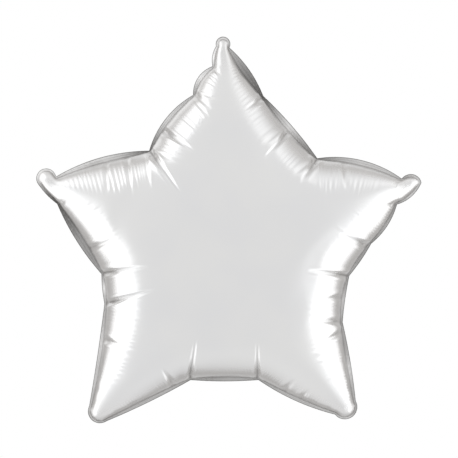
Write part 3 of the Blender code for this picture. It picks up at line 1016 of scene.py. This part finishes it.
def pucker(piece, creases, sided, rim):
    """Presses creases and combs into a sheet, along its normals."""
    points = np.array([v.co for v in piece.data.vertices])
    normals = np.array([v.normal for v in piece.data.vertices])
    flat_points = points[:, [0, 2]] - np.array((STAR_CENTRE.x, STAR_CENTRE.z))
    move = np.zeros(len(points))
    painted_fold_shade = np.zeros(len(points))
    for start, end, depth, width in creases:
        move += crease(flat_points, start, end, depth, width)
        painted_fold_shade = np.maximum(painted_fold_shade, fold_shade_line(flat_points, start, end, depth))
    distance, along, foot = on_seam(flat_points)
    total = seam_length[-1]
    place = np.interp(along, seam_length, unrolled)
    combs = np.array([row.comb for row in SCALLOPS])
    strength = np.interp(place, np.arange(len(SCALLOPS)) + 0.5, combs, period=len(SCALLOPS))
    strength *= np.clip(0.9 + 0.35 * ripples(along, total, 0.012, 0.06, 30), 0.3, 1.5)
    turns = round(total / TOOTH)
    fine = np.sin(2 * np.pi * turns * along / total + 1.8 * ripples(along, total, 0.02, 0.06, 20))
    reach = COMB_REACH + 0.005 * ripples(along, total, 0.007, 0.015, 40)
    belt = np.interp(distance, (0.0, 0.006, 0.018), (0.15, 0.45, 1.0))
    belt *= np.clip((reach - distance) / COMB_FADE, 0, 1)
    move += COMB_HEIGHT * belt * strength * sided * fine
    move = evened(piece, move, 2) * np.interp(distance, (0.0, 0.004), (0.0, 1.0))
    moved = points + normals * move[:, None]
    moved[rim, 0] = foot[rim, 0] + STAR_CENTRE.x
    moved[rim, 1] = wave_at(place[rim] % len(SCALLOPS))
    moved[rim, 2] = foot[rim, 1] + STAR_CENTRE.z
    piece.data.vertices.foreach_set("co", moved.ravel())
    piece.data.update()
    keep_values(piece, "from_seam", distance)
    keep_values(piece, "along_seam", along)
    keep_values(piece, "fold_shade", painted_fold_shade)
    piece.data.shade_smooth()
    print(piece.name, "largest crease", round(np.abs(move).max() * 1000, 1), "mm")


pucker(front, front_creases(), front_sided, front_rim)
pucker(back, back_creases(), back_sided, back_rim)

# %% [markdown]
# ## Silver film
# The film is plastic with a layer of metal, so it is a soft mirror with a faint texture. Its roughness
# wanders a little, and close to the weld it is crinkled by the heat. Patches of fine ticks stand there,
# too fine for the mesh, so they are bump, a sine of the distance along the seam. Its colour holds painted
# shade: a little darker towards the seam, and a dark line at the weld, which is partly heat-dulled film.
# In a deep fold the film mirrors only itself, which a painted shade, a dark tint along the crease's
# bottom, stands for.

# %% Film material
TICK = 0.0036
film_look, nodes = new_material("silver_film")
nodes.shade("Metallic", 1.0)
where = nodes.add("ShaderNodeTexCoord", output=OBJECT_COORDINATES)
from_seam = nodes.attribute("from_seam")
near_seam = from_seam.between(0.022, 0.0)
weld_line_and_shade = from_seam.between(0.0026, 0.0004)
cloud = nodes.noise(scale=14.0, detail=4.0, where=where)
grain = nodes.noise(scale=900.0, detail=2.0, where=where)
crinkle = nodes.noise(scale=170.0, detail=4.0, where=where, roughness=0.6)
patches = nodes.noise(scale=45.0, detail=1.0, where=where)
tint = nodes.mix_colour(cloud.between(0.35, 0.65), (0.965, 0.965, 0.97), (0.985, 0.983, 0.98))
# Painted shade: the film's colour grows a little darker and warmer towards the seam.
tint = nodes.mix_colour(near_seam * 0.5, tint, (0.90, 0.885, 0.875))
# Painted shade, partly real: a dark line along the seam, where the weld dulls the film and the crevice by
# the hem lies in shade.
tint = nodes.mix_colour(weld_line_and_shade * 0.7, tint, (0.46, 0.445, 0.435))
# Painted shade: a dark tint along the bottom of each deep crease.
tint = nodes.mix_colour(nodes.attribute("fold_shade") * 0.9, tint, (0.26, 0.25, 0.245))
nodes.shade("Base Color", tint)
nodes.shade("Roughness", 0.22 + cloud * 0.05 + near_seam * 0.05)
belt = from_seam.between(0.0035, 0.0065) * from_seam.between(0.0125, 0.0085) * patches.between(0.42, 0.60)
ticks = (nodes.attribute("along_seam") * (2 * math.pi / TICK)).sine() * belt
height = grain * 0.08 + crinkle * (near_seam * 0.9 + 0.03) + ticks * 0.8
nodes.shade("Normal", nodes.add("ShaderNodeBump", Strength=0.25, Distance=0.0006, Height=height))
dress(front, film_look, "silver_film", "front_panel")
dress(back, film_look, "silver_film", "back_panel")
print("film dressed")

# %% [markdown]
# ## The hem
# Outside the seam runs the hem, where both films are welded flat together. It is a strip of even
# thickness that leans forwards or backwards from scallop to scallop, because nothing inflates it, and its
# outer edge is slightly ruffled. The solids split it into ten runs. Here one strip goes all the way
# round, as on the real one.

# %% Hem
HEM_STEP = 0.0016
HEM_COLUMNS = 6
HEM_THICKNESS = 0.0003
HEM_TUCK = 0.0002
HEM_LEAN = 0.0012
HEM_RUFFLE = 0.00028


def hem_strip():
    """The hem as one thick strip, which carries its painted shade and where a point lies across it."""
    at = np.union1d(np.arange(0.0, seam_length[-1] - HEM_STEP / 2, HEM_STEP), pinches)
    count = len(at)
    inner = sampled(seam_edge + inward(seam_edge) * HEM_TUCK, at)
    place = np.interp(at, seam_length, unrolled)
    outer = sampled(hem_edge, np.interp(place, unrolled, lengths_along(hem_edge)))
    swing = np.where(place.astype(int) % 2 == 0, 1.0, -1.0)
    bow = np.sin(np.pi * (place % 1)) ** 1.5
    lean = HEM_LEAN * bow * (ripples(at, seam_length[-1], 0.06, 0.15, 10) + swing)
    ruffle = HEM_RUFFLE * ripples(at, seam_length[-1], 0.004, 0.009, 40)
    columns = []
    for k in range(HEM_COLUMNS):
        share = k / (HEM_COLUMNS - 1)
        flat_place = inner + (outer - inner) * share
        y = wave_at(place) + lean * share + ruffle * share ** 1.5
        columns.append(np.stack((flat_place[:, 0], y, flat_place[:, 1]), axis=1))
    points = np.stack(columns, axis=1).reshape(-1, 3)
    piece = film_object("hem", points, grid_faces(count, HEM_COLUMNS, closed=True))
    tones = np.array([(row.start_dark, row.crown_dark) for row in SCALLOPS]).ravel()
    tone = np.interp(place, np.arange(len(tones)) / 2, tones, period=len(SCALLOPS))
    width = np.linalg.norm(outer - inner, axis=1)
    shares = np.tile(np.arange(HEM_COLUMNS) / (HEM_COLUMNS - 1), count)
    keep_values(piece, "dark", np.repeat(tone, HEM_COLUMNS))
    keep_values(piece, "across", shares)
    keep_values(piece, "from_edge", np.repeat(width, HEM_COLUMNS) * (1 - shares))
    thicken(piece, HEM_THICKNESS)
    return piece


hem = hem_strip()
print("hem faces:", len(hem.data.polygons))

# %% Hem material
hem_look, nodes = new_material("silver_hem")
where = nodes.add("ShaderNodeTexCoord", output=OBJECT_COORDINATES)
across = nodes.attribute("across")
dark = nodes.attribute("dark")
crinkle = nodes.noise(scale=120.0, detail=3.0, where=where)
dots = nodes.noise(scale=700.0, detail=1.0, where=where)
outer_edge_line_and_shade = nodes.attribute("from_edge").between(0.0012, 0.0004)
middle_line = across.between(0.38, 0.46) * across.between(0.60, 0.52)
inner_weld_line_and_shade = across.between(0.16, 0.02)
# Painted shade: the hem's colour darkens by the shade given for each scallop.
tint = nodes.mix_colour(dark, (0.97, 0.965, 0.96), (0.15, 0.145, 0.14))
# Partly weld lines, partly painted shade: thin dark lines at the hem's outer edge, where it meets the film,
# and down its middle, darker where the hem's painted shade is.
lines = outer_edge_line_and_shade * 0.75 + (inner_weld_line_and_shade * 0.4 + middle_line * 0.3) * (0.4 + dark * 0.4)
tint = nodes.mix_colour(lines, tint, (0.09, 0.085, 0.08))
tint = nodes.mix_colour(dots.between(0.50, 0.75) * dark * 0.3, tint, (0.75, 0.74, 0.73))
nodes.shade("Base Color", tint)
nodes.shade("Roughness", 0.30 + crinkle * 0.12)
nodes.shade("Metallic", 0.30 + dark * 0.60)
height = crinkle + middle_line * 0.4
nodes.shade("Normal", nodes.add("ShaderNodeBump", Strength=0.35, Distance=0.0008, Height=height))
dress(hem, hem_look, "silver_hem", *[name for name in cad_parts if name.startswith("hem_")])
print("hem dressed")

# %% [markdown]
# ## The neck
# The balloon is filled through a flat neck at the bottom notch: two plies of film, sealed along both
# sides, with a valve of clear film between them. Here it is folded up behind the back sheet and lies on
# it, and its end stands free as a flat tab. Each layer is a strip of points that are moved to the nearest
# place of the back sheet and lifted by the layer's height, so the strip follows all its puckers.

# %% Path of the neck
NECK_LYING = 0.052
NECK_FREE = 0.016
NECK_ROWS = 34
NECK_ROOT = (0.002, -0.1535)  # y and z from the star's middle to where the neck leaves the hem
NECK_HEADING = (0.0, 0.75, 0.25)

back_points = [v.co for v in back.data.vertices]
back_surface = BVHTree.FromPolygons(back_points, [p.vertices for p in back.data.polygons])


def neck_path(x, height):
    """Points of one line of the neck, from the hem up behind the back sheet, at one distance from it."""
    line = []
    at = Vector((x, NECK_ROOT[0], STAR_CENTRE.z + NECK_ROOT[1]))
    heading = Vector(NECK_HEADING).normalized()
    step = (NECK_LYING + NECK_FREE) / (NECK_ROWS - 1)
    for row in range(NECK_ROWS):
        if row * step <= NECK_LYING:
            place, normal, _, _ = back_surface.find_nearest(at)
            on_film = place + normal * height
            on_film.x = x
            if line:
                heading = (0.7 * heading + 0.3 * (on_film - line[-1]).normalized()).normalized()
            line.append(on_film)
            slide = heading - normal * heading.dot(normal)
            at = on_film + slide.normalized() * step
        else:
            line.append(line[-1] + heading * step)
    return line


print("neck lies on", NECK_LYING * 1000, "mm of the back sheet")

# %% Layers of the neck
NECK_THICKNESS = 0.0004
FILL_HOLE_RADIUS = 0.005
FILL_HOLE_FROM_END = 0.008
PUNCH_DEPTH = 0.0012
# What the materials read on a layer, where the film and the hem have values of their own.
EVEN_VALUES = {"from_seam": 0.018, "across": 0.3, "dark": 0.15, "from_edge": 0.004}


def neck_layer(name, left, right, height, columns=15):
    """A strip of film between two x values, laid on the back sheet at one height."""
    lines = [neck_path(x, height) for x in np.linspace(left, right, columns)]
    points = np.array([[tuple(p) for p in line] for line in lines]).reshape(-1, 3)
    faces = grid_faces(columns, NECK_ROWS, closed=False)
    piece = film_object(name, points - np.array(STAR_CENTRE), faces)
    thicken(piece, NECK_THICKNESS)
    for value_name, value in EVEN_VALUES.items():
        keep_values(piece, value_name, np.full(len(piece.data.vertices), value))
    return piece


def punch_hole(ply, height):
    """The hole in the neck's outer ply through which the balloon is filled."""
    line = neck_path(0.0, height)
    way = (line[-1] - line[-2]).normalized()
    bpy.ops.mesh.primitive_cylinder_add(vertices=48, radius=FILL_HOLE_RADIUS, depth=PUNCH_DEPTH)
    punch = bpy.context.object
    punch.location = line[-1] - way * FILL_HOLE_FROM_END
    punch.rotation_euler = Vector((0.0, way.z, -way.y)).to_track_quat("Z", "Y").to_euler()
    cut = ply.modifiers.new("fill hole", "BOOLEAN")
    cut.object = punch
    cut.solver = "EXACT"
    make_real(ply)
    bpy.data.objects.remove(punch)
    smooth_but_for_edges(ply)


print("fill hole", FILL_HOLE_RADIUS * 2000, "mm wide")

# %% Neck pieces
NECK_HALF = 0.014
NECK_SEAL = 0.004
VALVE_HALF = 0.008
INNER_HEIGHT, BETWEEN_HEIGHT, OUTER_HEIGHT = 0.0010, 0.0018, 0.0026

valve_look, nodes = new_material("valve_film")
where = nodes.add("ShaderNodeTexCoord", output=OBJECT_COORDINATES)
cloud = nodes.noise(scale=90.0, detail=3.0, where=where)
nodes.shade("Base Color", nodes.mix_colour(cloud, (0.62, 0.63, 0.64), (0.78, 0.79, 0.80)))
nodes.shade("Roughness", 0.18 + cloud * 0.15)

inner_ply = neck_layer("neck_ply_inner", -NECK_HALF, NECK_HALF, INNER_HEIGHT)
outer_ply = neck_layer("neck_ply_outer", -NECK_HALF, NECK_HALF, OUTER_HEIGHT)
seal_left = neck_layer("neck_seal_strip_left", -NECK_HALF, -NECK_HALF + NECK_SEAL, BETWEEN_HEIGHT, 4)
seal_right = neck_layer("neck_seal_strip_right", NECK_HALF - NECK_SEAL, NECK_HALF, BETWEEN_HEIGHT, 4)
valve = neck_layer("valve_sleeve", -VALVE_HALF, VALVE_HALF, BETWEEN_HEIGHT, 9)
punch_hole(outer_ply, OUTER_HEIGHT)
dress(inner_ply, film_look, "silver_film", "neck_inner_ply")
dress(outer_ply, film_look, "silver_film", "neck_outer_ply")
dress(seal_left, hem_look, "silver_hem", "neck_seal_left")
dress(seal_right, hem_look, "silver_hem", "neck_seal_right")
dress(valve, valve_look, "valve_film", "valve_film")
print("free end at y", round(max(v.co.y for v in outer_ply.data.vertices) * 1000, 1), "mm")

# %% Finish
print("finished")
